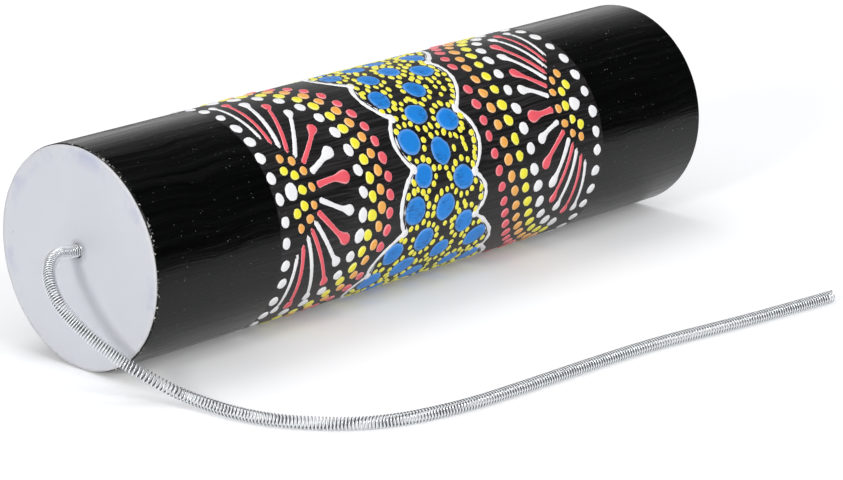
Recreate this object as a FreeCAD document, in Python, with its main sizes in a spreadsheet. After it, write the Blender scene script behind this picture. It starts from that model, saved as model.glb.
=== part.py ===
import FreeCAD
import Part
import Sketcher
import math
import os

# Thunder tube: an open board tube with a plastic skin glued over one end,
# and a long limp spring that hangs from the middle of the skin.
#
# The tube lies on its side. +X runs along it from the skin to the open end,
# +Z is up, and the origin is on the floor under the middle of the tube.
# Lengths are in millimetres.

Vector = FreeCAD.Vector

# alias, value, what it is
DIMENSIONS = [
    ("tube_length", 251.4, "board tube, end to end"),
    ("tube_diameter", 70.0, "outside of the board tube"),
    ("tube_wall", 3.0, "thickness of the wound board"),
    ("rim_round", 0.6, "rounding of the open end's two edges"),
    ("film_thickness", 0.4, "plastic skin"),
    ("glue_thickness", 0.2, "glue between the tube's end and the skin"),
    ("glue_inset", 0.4, "glue stays this far inside the tube's outside"),
    ("glue_leg", 1.6, "glue fillet in the corner behind the skin"),
    ("hole_rise", 2.5, "skin's hole above the tube's axis"),
    ("hole_clearance", 0.2, "all round the spring, in skin and washer"),
    ("washer_rim", 3.8, "width of the washer's ring"),
    ("washer_thickness", 0.8, "backing washer"),
    ("washer_round", 0.2, "rounding of the washer's edges"),
    ("pin_diameter", 0.8, "cross pin through the spring"),
    ("pin_overhang", 2.5, "cross pin past each side of the spring"),
    ("pin_bevel", 0.15, "bevel of the pin's ends"),
    ("pin_lift", 0.1, "glue between the pin and the washer"),
    ("drop_radius", 1.3, "drop of glue on each end of the pin"),
    ("drop_gap", 0.4, "from a drop to the spring"),
    ("spring_diameter", 4.0, "outside of the coils"),
    ("wire_diameter", 0.5, "spring wire"),
    ("spring_tail", 5.5, "spring past the pin, inside the tube"),
    ("root_stretch", 26.0, "close-wound coils outside the skin"),
]

# Curls of the spring: inside the tube, close-wound at the root, and open.
TAIL_CURLS = 2
ROOT_CURLS = 15
OPEN_CURLS = 80

# The spring's route outside the skin, chosen by hand: along X from the skin,
# along Y from the tube's axis, and up from where the spring lies on the floor.
# The first point is level with the hole.
EXIT_X = -2.0
ROUTE = [
    (-10.5, -2.0, 37.0),
    (-18.0, -6.5, 34.0),
    (-21.0, -12.0, 27.5),
    (-19.0, -17.5, 20.0),
    (-15.0, -23.0, 12.0),
    (-7.0, -32.0, 5.0),
    (0.5, -45.0, 0.0),
    (2.0, -70.0, 0.0),
    (11.0, -88.0, 0.0),
    (26.0, -102.5, 0.0),
    (51.5, -109.5, 0.0),
    (77.5, -111.0, 0.0),
    (105.0, -112.0, 0.0),
    (134.0, -114.0, 0.0),
    (163.0, -119.5, 0.0),
    (187.0, -123.0, 0.0),
    (208.0, -125.5, 0.0),
]
ARC_SHARE = 0.45          # of the shorter run beside a corner
NODES_PER_CURL = 2        # one biarc for each half turn
SAMPLES_PER_CURL = 24     # points for measuring the gap between curls

doc = FreeCAD.newDocument("thunder_tube")


# ---------------------------------------------------------------- sheet

def make_sheet():
    sheet = doc.addObject("Spreadsheet::Sheet", "sizes")
    for row, (alias, value, note) in enumerate(DIMENSIONS, start=1):
        sheet.set("A%d" % row, alias)
        sheet.set("B%d" % row, str(value))
        sheet.set("C%d" % row, note)
        sheet.setAlias("B%d" % row, alias)
    doc.recompute()
    return sheet


sizes = make_sheet()

# Places that several pieces share, as expressions on the sheet.
TUBE_RADIUS = "sizes.tube_diameter / 2"
BORE_RADIUS = "(sizes.tube_diameter / 2 - sizes.tube_wall)"
SKIN_X = "-(sizes.tube_length + sizes.glue_thickness + sizes.film_thickness) / 2"
SKIN_BACK_X = SKIN_X + " + sizes.film_thickness"
TUBE_X = SKIN_BACK_X + " + sizes.glue_thickness"
WASHER_BACK_X = SKIN_BACK_X + " + sizes.washer_thickness"
PIN_X = WASHER_BACK_X + " + sizes.pin_lift + sizes.pin_diameter / 2"
HOLE_Z = "(sizes.tube_diameter / 2 + sizes.hole_rise)"
HOLE_RADIUS = "(sizes.spring_diameter / 2 + sizes.hole_clearance)"
PIN_LENGTH = "(sizes.spring_diameter + 2 * sizes.pin_overhang)"
DROP_OFFSET = "(sizes.spring_diameter / 2 + sizes.drop_gap + sizes.drop_radius)"


def value_of(expression):
    """The number that an expression on the sheet gives."""
    return float(sizes.evalExpression(expression))


# -------------------------------------------------------------- helpers

def place(piece, x=None, z=None):
    if x:
        piece.setExpression("Placement.Base.x", x)
    if z:
        piece.setExpression("Placement.Base.z", z)


def new_body(name):
    body = doc.addObject("PartDesign::Body", name)
    body.Label = name
    return body


def new_sketch(body, name, plane_role):
    sketch = body.newObject("Sketcher::SketchObject", name)
    plane = next(f for f in body.Origin.OriginFeatures if f.Role == plane_role)
    sketch.AttachmentSupport = [(plane, "")]
    sketch.MapMode = "FlatFace"
    return sketch


def bind(sketch, constraint, name, expression):
    """Add a dimension to a sketch and tie it to the sheet."""
    index = sketch.addConstraint(constraint)
    sketch.renameConstraint(index, name)
    sketch.setExpression("Constraints." + name, expression)


def add_circle(sketch, name, radius, height=None):
    """A circle on the sketch's centre, or at a height above it."""
    start = value_of(height) if height else 0.0
    index = sketch.addGeometry(Part.Circle(Vector(0, start, 0), Vector(0, 0, 1), value_of(radius)))
    if height:
        sketch.addConstraint(Sketcher.Constraint("PointOnObject", index, 3, -2))
        bind(sketch, Sketcher.Constraint("DistanceY", -1, 1, index, 3, start), name + "_height", height)
    else:
        sketch.addConstraint(Sketcher.Constraint("Coincident", index, 3, -1, 1))
    bind(sketch, Sketcher.Constraint("Radius", index, value_of(radius)), name + "_radius", radius)


def add_outline(sketch, corners):
    """A closed outline through corners, tied to the sheet both ways; across is None on the upright axis."""
    points = [Vector(value_of(across or "0"), value_of(up), 0) for across, up in corners]
    for here, there in zip(points, points[1:] + points[:1]):
        sketch.addGeometry(Part.LineSegment(here, there))
    count = len(points)
    for index in range(count):
        following = (index + 1) % count
        sketch.addConstraint(Sketcher.Constraint("Coincident", index, 2, following, 1))
    for index, (across, up) in enumerate(corners):
        point = points[index]
        height = Sketcher.Constraint("DistanceY", -1, 1, index, 1, point.y)
        bind(sketch, height, "up_%d" % index, up)
        if across is None:
            sketch.addConstraint(Sketcher.Constraint("PointOnObject", index, 1, -2))
            continue
        width = Sketcher.Constraint("DistanceX", -1, 1, index, 1, point.x)
        bind(sketch, width, "across_%d" % index, across)


def add_pad(body, sketch, length):
    pad = body.newObject("PartDesign::Pad", sketch.Name + "_pad")
    pad.Profile = sketch
    pad.setExpression("Length", length)
    doc.recompute()
    return pad


def round_edges(body, base, name, edges, radius):
    fillet = body.newObject("PartDesign::Fillet", name)
    fillet.Base = (base, edges)
    fillet.setExpression("Radius", radius)
    body.Tip = fillet
    doc.recompute()
    return fillet


def circles_at(shape, axis, position):
    """Names of a shape's round edges that lie in the plane at a position."""
    names = []
    for number, edge in enumerate(shape.Edges, start=1):
        if not isinstance(edge.Curve, Part.Circle):
            continue
        if abs(getattr(edge.Curve.Center, axis) - position) < 1e-6:
            names.append("Edge%d" % number)
    return names


# --------------------------------------------------------- tube and skin

def make_tube():
    body = new_body("tube")
    ring = new_sketch(body, "tube_ring", "YZ_Plane")
    add_circle(ring, "outside", TUBE_RADIUS)
    add_circle(ring, "bore", BORE_RADIUS)
    pad = add_pad(body, ring, "sizes.tube_length")
    rim = circles_at(pad.Shape, "x", value_of("sizes.tube_length"))
    round_edges(body, pad, "tube_rim", rim, "sizes.rim_round")
    place(body, TUBE_X, TUBE_RADIUS)
    return body


def make_head_glue():
    """Glue between tube end and skin, with its fillet in the corner inside."""
    body = new_body("head_glue")
    section = new_sketch(body, "glue_section", "XZ_Plane")
    outside = "(sizes.tube_diameter / 2 - sizes.glue_inset)"
    inside = "(sizes.tube_diameter / 2 - sizes.tube_wall - sizes.glue_leg)"
    add_outline(section, [
        (None, inside),
        (None, outside),
        ("sizes.glue_thickness", outside),
        ("sizes.glue_thickness", BORE_RADIUS),
        ("sizes.glue_thickness + sizes.glue_leg", BORE_RADIUS),
    ])
    turn = body.newObject("PartDesign::Revolution", "glue_ring")
    turn.Profile = section
    turn.ReferenceAxis = (section, ["H_Axis"])
    turn.Angle = 360
    doc.recompute()
    place(body, SKIN_BACK_X, TUBE_RADIUS)
    return body


def make_drum_head():
    body = new_body("drum_head")
    disc = new_sketch(body, "film_disc", "YZ_Plane")
    add_circle(disc, "outside", TUBE_RADIUS)
    add_circle(disc, "hole", HOLE_RADIUS, "sizes.hole_rise")
    add_pad(body, disc, "sizes.film_thickness")
    place(body, SKIN_X, TUBE_RADIUS)
    return body


# ------------------------------------------------------ spring's anchor

def make_washer():
    body = new_body("spring_washer")
    ring = new_sketch(body, "washer_ring", "YZ_Plane")
    add_circle(ring, "outside", HOLE_RADIUS + " + sizes.washer_rim")
    add_circle(ring, "hole", HOLE_RADIUS)
    pad = add_pad(body, ring, "sizes.washer_thickness")
    back = circles_at(pad.Shape, "x", value_of("sizes.washer_thickness"))
    round_edges(body, pad, "washer_edges", back, "sizes.washer_round")
    place(body, SKIN_BACK_X, HOLE_Z)
    return body


def make_pin():
    body = new_body("toggle_pin")
    disc = new_sketch(body, "pin_disc", "XY_Plane")
    add_circle(disc, "pin", "sizes.pin_diameter / 2")
    pad = add_pad(body, disc, PIN_LENGTH)
    bevel = body.newObject("PartDesign::Chamfer", "pin_ends")
    ends = circles_at(pad.Shape, "z", 0.0) + circles_at(pad.Shape, "z", value_of(PIN_LENGTH))
    bevel.Base = (pad, ends)
    bevel.setExpression("Size", "sizes.pin_bevel")
    body.Tip = bevel
    doc.recompute()
    place(body, PIN_X, HOLE_Z + " - " + PIN_LENGTH + " / 2")
    return body


def make_drop(name, sign):
    """A dome of glue on the washer, over one end of the pin."""
    dome = doc.addObject("Part::Sphere", name)
    dome.setExpression("Radius", "sizes.drop_radius")
    dome.Angle1 = 0
    dome.Placement.Rotation = FreeCAD.Rotation(Vector(0, 1, 0), 90)
    place(dome, WASHER_BACK_X, HOLE_Z + sign + DROP_OFFSET)
    return dome


def make_pin_glue():
    both = doc.addObject("Part::MultiFuse", "drops")
    both.Shapes = [make_drop("upper_drop", " + "), make_drop("lower_drop", " - ")]
    bed = doc.addObject("Part::Cylinder", "pin_bed")
    bed.setExpression("Radius", "sizes.pin_diameter / 2")
    bed.setExpression("Height", PIN_LENGTH)
    place(bed, PIN_X, HOLE_Z + " - " + PIN_LENGTH + " / 2")
    glue = doc.addObject("Part::Cut", "pin_glue")
    glue.Base = both
    glue.Tool = bed
    glue.Label = "pin_glue"
    doc.recompute()
    return glue


# --------------------------------------------------------------- spring

def route_points():
    """Corner points of the spring's centre line, from its inner end outwards."""
    skin = value_of(SKIN_X)
    hole = value_of(HOLE_Z)
    lying = value_of("sizes.spring_diameter / 2")
    inner = value_of(PIN_X + " + sizes.spring_tail")
    points = [Vector(inner, 0, hole), Vector(skin + EXIT_X, 0, hole)]
    for along, across, lift in ROUTE:
        points.append(Vector(skin + along, across, lying + lift))
    return points


def rotated(vector, axis, angle):
    return FreeCAD.Rotation(axis, math.degrees(angle)).multVec(vector)


def rounded_path(points):
    """Straight runs joined by tangent arcs, each piece with the frame it starts with."""
    directions = [(there - here).normalize() for here, there in zip(points, points[1:])]
    runs = [(there - here).Length for here, there in zip(points, points[1:])]
    pieces = []
    start = points[0]
    side = Vector(0, 1, 0)
    for corner, (before, after) in enumerate(zip(directions, directions[1:]), start=1):
        turn = before.getAngle(after)
        reach = ARC_SHARE * min(runs[corner - 1], runs[corner])
        radius = reach / math.tan(turn / 2)
        axis = before.cross(after).normalize()
        entry = points[corner] - before * reach
        pieces.append({"start": start, "along": before, "side": side, "length": (entry - start).Length})
        pieces.append({"start": entry, "along": before, "side": side, "length": radius * turn,
                       "axis": axis, "radius": radius})
        start = points[corner] + after * reach
        side = rotated(side, axis, turn)
    last = (points[-1] - start).Length
    pieces.append({"start": start, "along": directions[-1], "side": side, "length": last})
    return pieces


def frame_at(pieces, distance):
    """Centre, direction, side and bend of the path at a distance along it."""
    for piece in pieces[:-1]:
        if distance <= piece["length"]:
            break
        distance -= piece["length"]
    else:
        piece = pieces[-1]
    along = piece["along"]
    side = piece["side"]
    if "axis" not in piece:
        return piece["start"] + along * distance, along, side, Vector()
    inward = piece["axis"].cross(along)
    centre = piece["start"] + inward * piece["radius"]
    angle = distance / piece["radius"]
    turned_inward = rotated(inward, piece["axis"], angle)
    spot = centre - turned_inward * piece["radius"]
    bend = turned_inward * (1 / piece["radius"])
    return spot, rotated(along, piece["axis"], angle), rotated(side, piece["axis"], angle), bend


def winding(stretches):
    """A function from distance to curls, for stretches of (length, curls)."""
    def curls_at(distance):
        curls = 0.0
        for length, count in stretches[:-1]:
            if distance <= length:
                return curls + count * distance / length
            curls += count
            distance -= length
        length, count = stretches[-1]
        return curls + count * distance / length
    return curls_at


def distance_of(stretches, curls):
    """How far along the path a number of curls has come."""
    distance = 0.0
    for length, count in stretches[:-1]:
        if curls <= count:
            return distance + length * curls / count
        curls -= count
        distance += length
    length, count = stretches[-1]
    return distance + length * curls / count


def coil_point(pieces, stretches, radius, phase, curls):
    """A point on the wire's centre line and the wire's direction there."""
    step = 1e-3
    distance = distance_of(stretches, curls)
    pitch = (distance_of(stretches, curls + step) - distance_of(stretches, curls - step)) / (2 * step)
    centre, along, side, bend = frame_at(pieces, distance)
    up = along.cross(side)
    angle = 2 * math.pi * curls + phase
    outward = side * math.cos(angle) + up * math.sin(angle)
    around = up * math.cos(angle) - side * math.sin(angle)
    advance = pitch * (1 - radius * bend.dot(outward))
    direction = around * (2 * math.pi * radius) + along * advance
    return centre + outward * radius, direction.normalize()


def biarc(start, leaving, end, arriving):
    """Two tangent arcs between two points with given directions."""
    chord = end - start
    both = leaving + arriving
    spread = 2 * (1 - leaving.dot(arriving))
    ahead = chord.dot(both)
    arm = (math.sqrt(ahead * ahead + spread * chord.dot(chord)) - ahead) / spread
    first_corner = start + leaving * arm
    second_corner = end - arriving * arm
    joint = (first_corner + second_corner) * 0.5
    return [arc_with_corner(start, first_corner, joint), arc_with_corner(joint, second_corner, end)]


def arc_with_corner(start, corner, end):
    """The arc that leaves start towards corner and reaches end from it."""
    middle = (start + end) * 0.5
    half_chord = (end - start).Length / 2
    half_turn = math.acos(half_chord / (corner - start).Length)
    bulge = half_chord * math.tan(half_turn / 2)
    top = middle + (corner - middle).normalize() * bulge
    return Part.Arc(start, top, end)


def least_gap(points, wire, per_curl):
    """Least space between one curl and another, from points on the wire's centre line."""
    least = math.inf
    for number, here in enumerate(points):
        for other in points[number + per_curl // 2:]:
            least = min(least, here.distanceToPoint(other))
    return least - wire


def make_spring():
    """One unbroken wire in curls round the route, with a straight tip at each end."""
    wire = value_of("sizes.wire_diameter")
    coil_radius = value_of("(sizes.spring_diameter - sizes.wire_diameter) / 2")
    pin_distance = value_of("sizes.spring_tail")
    tail = pin_distance + value_of(PIN_X) - value_of(SKIN_X)
    root = value_of("sizes.root_stretch")
    pieces = rounded_path(route_points())
    length = sum(piece["length"] for piece in pieces)
    stretches = [(tail, TAIL_CURLS), (root, ROOT_CURLS), (length - tail - root, OPEN_CURLS)]
    curls = sum(count for _, count in stretches)
    # The pin passes between the curls, so the wire is beside it where they meet.
    phase = -2 * math.pi * winding(stretches)(pin_distance)

    def on_wire(turns):
        return coil_point(pieces, stretches, coil_radius, phase, turns)

    count = int(round(curls * NODES_PER_CURL))
    nodes = [on_wire(curls * number / count) for number in range(count + 1)]
    tip_start = nodes[0][0] - nodes[0][1] * wire
    tip_end = nodes[-1][0] + nodes[-1][1] * wire
    arcs = []
    for (start, leaving), (end, arriving) in zip(nodes, nodes[1:]):
        arcs += biarc(start, leaving, end, arriving)
    edges = [Part.LineSegment(tip_start, nodes[0][0]).toShape()]
    edges += [arc.toShape() for arc in arcs]
    edges.append(Part.LineSegment(nodes[-1][0], tip_end).toShape())
    section = Part.Wire(Part.Circle(tip_start, nodes[0][1], wire / 2).toShape())
    solid = Part.Wire(edges).makePipeShell([section], True, False)

    spring = doc.addObject("Part::Feature", "spring")
    spring.Label = "spring"
    spring.Shape = solid
    spring.Placement = FreeCAD.Placement()

    samples = int(curls * SAMPLES_PER_CURL)
    line = [on_wire(curls * number / samples)[0] for number in range(samples + 1)]
    wire_length = sum(edge.Length for edge in edges)
    expected = math.pi * wire * wire / 4 * wire_length
    bends = [round(piece["radius"], 1) for piece in pieces if "radius" in piece]
    print("route length", round(length, 1), "bend radii", bends)
    print("curls", curls, "least gap to itself", round(least_gap(line, wire, SAMPLES_PER_CURL), 2))
    print("tightest arc of the wire", round(min(edge.Curve.Radius for edge in edges[1:-1]), 2))
    print("spring volume", round(solid.Volume, 2), "section times length", round(expected, 2))
    return spring


# ----------------------------------------------------------------- build

PIECES = [
    make_tube(),
    make_head_glue(),
    make_drum_head(),
    make_washer(),
    make_pin(),
    make_pin_glue(),
    make_spring(),
]
doc.recompute()

for item in doc.Objects:
    for trouble in ("Invalid", "Error"):
        if trouble in item.State:
            raise RuntimeError("%s is %s" % (item.Label, item.State))
for piece in PIECES:
    if piece.Shape.isNull() or not piece.Shape.isValid():
        raise RuntimeError("%s has no valid shape" % piece.Label)

os.makedirs("parts", exist_ok=True)
for piece in PIECES:
    piece.Shape.exportStep("parts/" + piece.Label + ".step")
    box = piece.Shape.BoundBox
    print(piece.Label, "solids", len(piece.Shape.Solids), "volume", round(piece.Shape.Volume, 2),
          "x %.2f..%.2f y %.2f..%.2f z %.2f..%.2f" % (box.XMin, box.XMax, box.YMin, box.YMax, box.ZMin, box.ZMax))
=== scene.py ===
# %% [markdown]
# # A thunder tube
#
# A thunder tube is a board tube with a plastic skin across one end and a long limp spring
# that hangs from the middle of the skin. Shaken, the spring rattles the skin and it rumbles.
# This one lies on its side, with its spring curled down to the floor.
#
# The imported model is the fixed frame. Each cell below makes one piece or one finish around
# it. Lengths are in metres, +X runs along the tube from the skin to the open end, and the
# player's side, with the spring, is -Y.

import math
import random

import bmesh
import bpy
import mathutils
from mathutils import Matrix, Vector


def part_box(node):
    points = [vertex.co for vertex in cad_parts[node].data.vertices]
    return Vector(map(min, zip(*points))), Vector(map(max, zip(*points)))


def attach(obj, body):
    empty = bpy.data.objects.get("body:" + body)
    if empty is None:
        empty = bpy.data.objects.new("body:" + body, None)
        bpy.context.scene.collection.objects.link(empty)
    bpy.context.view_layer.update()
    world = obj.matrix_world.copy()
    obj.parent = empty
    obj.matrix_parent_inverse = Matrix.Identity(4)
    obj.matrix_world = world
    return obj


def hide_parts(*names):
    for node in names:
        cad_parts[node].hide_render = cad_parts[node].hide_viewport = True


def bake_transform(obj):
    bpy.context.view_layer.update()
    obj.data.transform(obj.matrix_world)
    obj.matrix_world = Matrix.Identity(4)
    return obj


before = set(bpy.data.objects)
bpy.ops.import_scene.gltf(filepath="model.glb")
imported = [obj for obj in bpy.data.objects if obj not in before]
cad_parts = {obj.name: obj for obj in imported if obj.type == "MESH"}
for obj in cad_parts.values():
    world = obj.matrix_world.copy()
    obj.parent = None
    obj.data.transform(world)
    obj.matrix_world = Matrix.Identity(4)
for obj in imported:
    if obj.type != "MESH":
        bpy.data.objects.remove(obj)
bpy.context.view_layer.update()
MM = 0.001

tube_low, tube_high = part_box("tube")
skin_low, skin_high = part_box("drum_head")
RADIUS = (skin_high.z - skin_low.z) / 2
AXIS_Z = (skin_high.z + skin_low.z) / 2
ROUND = 2 * math.pi * RADIUS
WALL = 3.0 * MM
print("tube", round(tube_high.x - tube_low.x, 4), "long, radius", round(RADIUS, 5))

# %% [markdown]
# ## Small helpers for nodes
#
# Geometry trees and materials are both made of nodes joined by links. One helper that adds a
# node and fills its sockets, and a few for arithmetic, keep every later cell short enough to
# read as a recipe.


# %% Node helpers
def fill(tree, socket, value):
    """Link a socket to another node's output, or give it a plain value."""
    if isinstance(value, bpy.types.NodeSocket):
        tree.links.new(value, socket)
    else:
        socket.default_value = value


def add(tree, kind, sockets=None, **settings):
    """Add a node with its settings, and fill the sockets that are named or numbered."""
    made = tree.nodes.new(kind)
    for name, value in settings.items():
        setattr(made, name, value)
    for key, value in (sockets or {}).items():
        fill(tree, made.inputs[key], value)
    return made


# %% Arithmetic helpers
def calc(tree, operation, *values):
    """One step of arithmetic on plain values or fields."""
    made = add(tree, "ShaderNodeMath", operation=operation)
    for socket, value in zip(made.inputs, values):
        fill(tree, socket, value)
    return made.outputs[0]


def plus(tree, first, second):
    return calc(tree, "ADD", first, second)


def minus(tree, first, second):
    return calc(tree, "SUBTRACT", first, second)


def times(tree, first, second):
    return calc(tree, "MULTIPLY", first, second)


def between(tree, share, first, second):
    """A number that goes from the first to the second as the share goes from 0 to 1."""
    return plus(tree, first, times(tree, share, minus(tree, second, first)))


def vector_calc(tree, operation, *values, scale=None):
    """One step of arithmetic on vectors."""
    made = add(tree, "ShaderNodeVectorMath", operation=operation)
    for socket, value in zip(made.inputs, values):
        fill(tree, socket, value)
    if scale is not None:
        fill(tree, made.inputs["Scale"], scale)
    return made.outputs["Value" if operation in ("LENGTH", "DISTANCE") else "Vector"]


def split(tree, vector):
    """A vector's X, Y and Z."""
    return add(tree, "ShaderNodeSeparateXYZ", {"Vector": vector}).outputs


def join(tree, x=0.0, y=0.0, z=0.0):
    """A vector from its X, Y and Z."""
    return add(tree, "ShaderNodeCombineXYZ", {"X": x, "Y": y, "Z": z}).outputs[0]


def ramp(tree, value, start, end, low=0.0, high=1.0):
    """Map a value between two limits to a new range, and hold it there."""
    made = add(tree, "ShaderNodeMapRange", {"Value": value, "From Min": start, "From Max": end,
                                            "To Min": low, "To Max": high})
    return made.outputs["Result"]


def noise(tree, place, scale, detail=2.0, roughness=0.5):
    """A noise texture's grey value, from 0 to 1."""
    made = add(tree, "ShaderNodeTexNoise", {"Vector": place, "Scale": scale,
                                            "Detail": detail, "Roughness": roughness})
    return made.outputs[0]


def uneven(tree, place, scale, detail, spread):
    """A noise about zero, that shifts a line or a surface to and fro by a real distance."""
    return times(tree, minus(tree, noise(tree, place, scale, detail), 0.5), spread)


# %% [markdown]
# ## Growing a piece from a tree
#
# Every Geometry Nodes tree here starts and ends alike. It has a named input for each size, and
# it ends by making instances real and setting the finish, because only real geometry with a
# material survives an export. The result is kept as a plain mesh, and the tree is taken off.

# %% Geometry tree helpers
SOCKET_KINDS = {int: "NodeSocketInt", float: "NodeSocketFloat"}


def open_tree(name, **sizes):
    """Start a tree: geometry, a material, and an input for each size. Underscores stand for spaces."""
    tree = bpy.data.node_groups.new(name, "GeometryNodeTree")
    tree.interface.new_socket("Geometry", in_out="OUTPUT", socket_type="NodeSocketGeometry")
    tree.interface.new_socket("Geometry", in_out="INPUT", socket_type="NodeSocketGeometry")
    for label, value in sizes.items():
        kind = SOCKET_KINDS[type(value)]
        socket = tree.interface.new_socket(label.replace("_", " "), in_out="INPUT", socket_type=kind)
        socket.default_value = value
    tree.interface.new_socket("Material", in_out="INPUT", socket_type="NodeSocketMaterial")
    return tree, tree.nodes.new("NodeGroupInput").outputs


def close_tree(tree, sockets, geometry):
    """End a tree: smooth faces, real geometry instead of instances, and the finish."""
    smooth = add(tree, "GeometryNodeSetShadeSmooth", {"Geometry": geometry})
    real = add(tree, "GeometryNodeRealizeInstances", {"Geometry": smooth.outputs[0]})
    painted = add(tree, "GeometryNodeSetMaterial", {"Geometry": real.outputs[0],
                                                    "Material": sockets["Material"]})
    tree.links.new(painted.outputs[0], tree.nodes.new("NodeGroupOutput").inputs[0])
    return tree


def new_object(name, data):
    """An object of the scene, at the origin."""
    made = bpy.data.objects.new(name, data)
    bpy.context.scene.collection.objects.link(made)
    return made


def grow(name, seed, tree, **values):
    """Run a tree on a seed mesh, and keep what it makes as a plain mesh object."""
    piece = new_object(name, seed)
    modifier = piece.modifiers.new("grow", "NODES")
    modifier.node_group = tree
    for item in tree.interface.items_tree:
        label = item.name.replace(" ", "_")
        if item.in_out == "INPUT" and label in values:
            modifier[item.identifier] = values[label]
    ready = piece.evaluated_get(bpy.context.evaluated_depsgraph_get())
    made = bpy.data.meshes.new_from_object(ready)
    piece.modifiers.remove(modifier)
    piece.data = made
    made.name = name
    made.calc_loop_triangles()
    print(name, len(made.loop_triangles), "triangles")
    return piece


def mesh_of(name, points, edges=(), faces=(), **attributes):
    """A mesh from plain lists, with a number for each point under each attribute's name."""
    mesh = bpy.data.meshes.new(name)
    mesh.from_pydata(points, edges, faces)
    for label, values in attributes.items():
        mesh.attributes.new(label, "FLOAT", "POINT").data.foreach_set("value", values)
    return mesh


# %% Helpers for the steps inside a tree
LAID_ALONG_X = (0.0, math.pi / 2, 0.0)


def position(tree):
    """Where each point is."""
    return add(tree, "GeometryNodeInputPosition").outputs[0]


def move(tree, geometry, **how):
    """Move each point by an Offset, or to a Position."""
    return add(tree, "GeometryNodeSetPosition", {"Geometry": geometry, **how}).outputs[0]


def transform(tree, geometry, **how):
    """Move, turn or scale the whole geometry."""
    return add(tree, "GeometryNodeTransform", {"Geometry": geometry, **how}).outputs[0]


def store(tree, geometry, label, value, domain="POINT", data_type="FLOAT"):
    """Keep a value on each point, under a name."""
    made = add(tree, "GeometryNodeStoreNamedAttribute", {"Geometry": geometry, "Name": label, "Value": value},
               data_type=data_type, domain=domain)
    return made.outputs[0]


def stored(tree, label, data_type="FLOAT"):
    """Read what was kept under a name."""
    made = add(tree, "GeometryNodeInputNamedAttribute", {"Name": label}, data_type=data_type)
    return made.outputs["Attribute"]


def as_curve(tree, sockets):
    """The seed mesh's edges, as a curve."""
    return add(tree, "GeometryNodeMeshToCurve", {"Mesh": sockets["Geometry"]}).outputs[0]


def circle(tree, sides, radius):
    return add(tree, "GeometryNodeCurvePrimitiveCircle", {"Resolution": sides, "Radius": radius}).outputs[0]


def sweep(tree, curve, section, caps=True, **how):
    """Sweep a section along a curve."""
    made = add(tree, "GeometryNodeCurveToMesh", {"Curve": curve, "Profile Curve": section,
                                                 "Fill Caps": caps, **how})
    return made.outputs[0]


# %% [markdown]
# ## The camera
#
# The picture looks down the tube from beyond its skin, from a little above and on the
# player's side. A long lens from a metre away keeps the tube's two ends nearly the same size.

# %% Camera
CAMERA_PLACE = (-0.7231, -0.7051, 0.3239)
CAMERA_HEADING = 0.757
CAMERA_DIP = 0.299
LENS = 137.9

camera = new_object("camera", bpy.data.cameras.new("camera"))
camera.data.lens = LENS
camera.location = CAMERA_PLACE
camera.rotation_euler = (math.pi / 2 - CAMERA_DIP, 0, CAMERA_HEADING - math.pi / 2)
bpy.context.scene.camera = camera
print("camera is", round(camera.location.length, 3), "from the tube's middle")

# %% [markdown]
# ## The spring's route
#
# A limp spring lies where its weight takes it. It leaves the skin level, arches over, drops
# past the tube's edge and runs along the floor in one long bend. Its line is a NURBS curve
# through listed control points, because such a curve has no corners to give it away.

# %% Spring's route
ROUTE = [(-0.1188, 0.0, 0.0375), (-0.128, 0.0, 0.0375), (-0.1365, -0.002, 0.0395),
         (-0.1436, -0.0067, 0.0365), (-0.1461, -0.0129, 0.030), (-0.1437, -0.0186, 0.0232),
         (-0.1392, -0.025, 0.0164), (-0.1324, -0.0333, 0.0088), (-0.1254, -0.0455, 0.0023),
         (-0.124, -0.070, 0.002), (-0.115, -0.088, 0.002), (-0.100, -0.1025, 0.002),
         (-0.0745, -0.1095, 0.002), (-0.0485, -0.111, 0.002), (-0.021, -0.112, 0.002),
         (0.008, -0.114, 0.002), (0.037, -0.1195, 0.002), (0.061, -0.123, 0.002),
         (0.082, -0.1255, 0.002)]
HOLE_Z = ROUTE[0][2]


def route_mesh(points):
    """The NURBS line through the control points, as a mesh of short edges."""
    curve = bpy.data.curves.new("spring_route", "CURVE")
    curve.dimensions = "3D"
    spline = curve.splines.new("NURBS")
    spline.points.add(len(points) - 1)
    for point, place in zip(spline.points, points):
        point.co = (*place, 1.0)
    spline.order_u = 3
    spline.use_endpoint_u = True
    spline.resolution_u = 40
    holder = new_object("spring_route", curve)
    mesh = bpy.data.meshes.new_from_object(holder)
    bpy.data.objects.remove(holder)
    return mesh


route = route_mesh(ROUTE)
route_line = [vertex.co.copy() for vertex in route.vertices]
route_length = sum((there - here).length for here, there in zip(route_line, route_line[1:]))
print("spring's line", round(route_length, 4), "long,", len(route_line), "points")

# %% [markdown]
# ## Winding the wire
#
# The spring is one wire in about 315 turns: nearly closed where it hangs from the skin, open
# where it stretches over the edge and lies on the floor. Modelling one turn and arraying it
# would kink at every bend. A tree that turns each point of the finely cut route about the
# route, by an angle that grows with the distance, winds the real wire in one go.

# %% Turns of the wire
# Stretches of the spring from its inner end: how long each is, and how many turns it holds.
STRETCHES = [("tail", 7.2 * MM, 2.0), ("mouth", 2.4 * MM, 2.6), ("root", 37.0 * MM, 46.0),
             ("drop", 18.0 * MM, 19.0), ("bend", 40.0 * MM, 31.5), ("return", 20.0 * MM, 18.0),
             ("run", 210.0 * MM, 198.0)]
TAIL = STRETCHES[0][1]
COIL = 4.0 * MM
WIRE = 0.5 * MM
WIRE_SIDES = 8
# The cross pin passes through the tail's coils this far along, so the wire has to be above it there.
PIN_ALONG = 5.5 * MM
POINTS_PER_TURN = 16


def turns_along(length):
    """How many turns the wire makes over a length of the route."""
    turns = 0.0
    for _, stretch, count in STRETCHES:
        part = min(length, stretch)
        turns += count * part / stretch
        length -= part
    return turns


print("the spring has", round(turns_along(route_length)), "turns")


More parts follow.
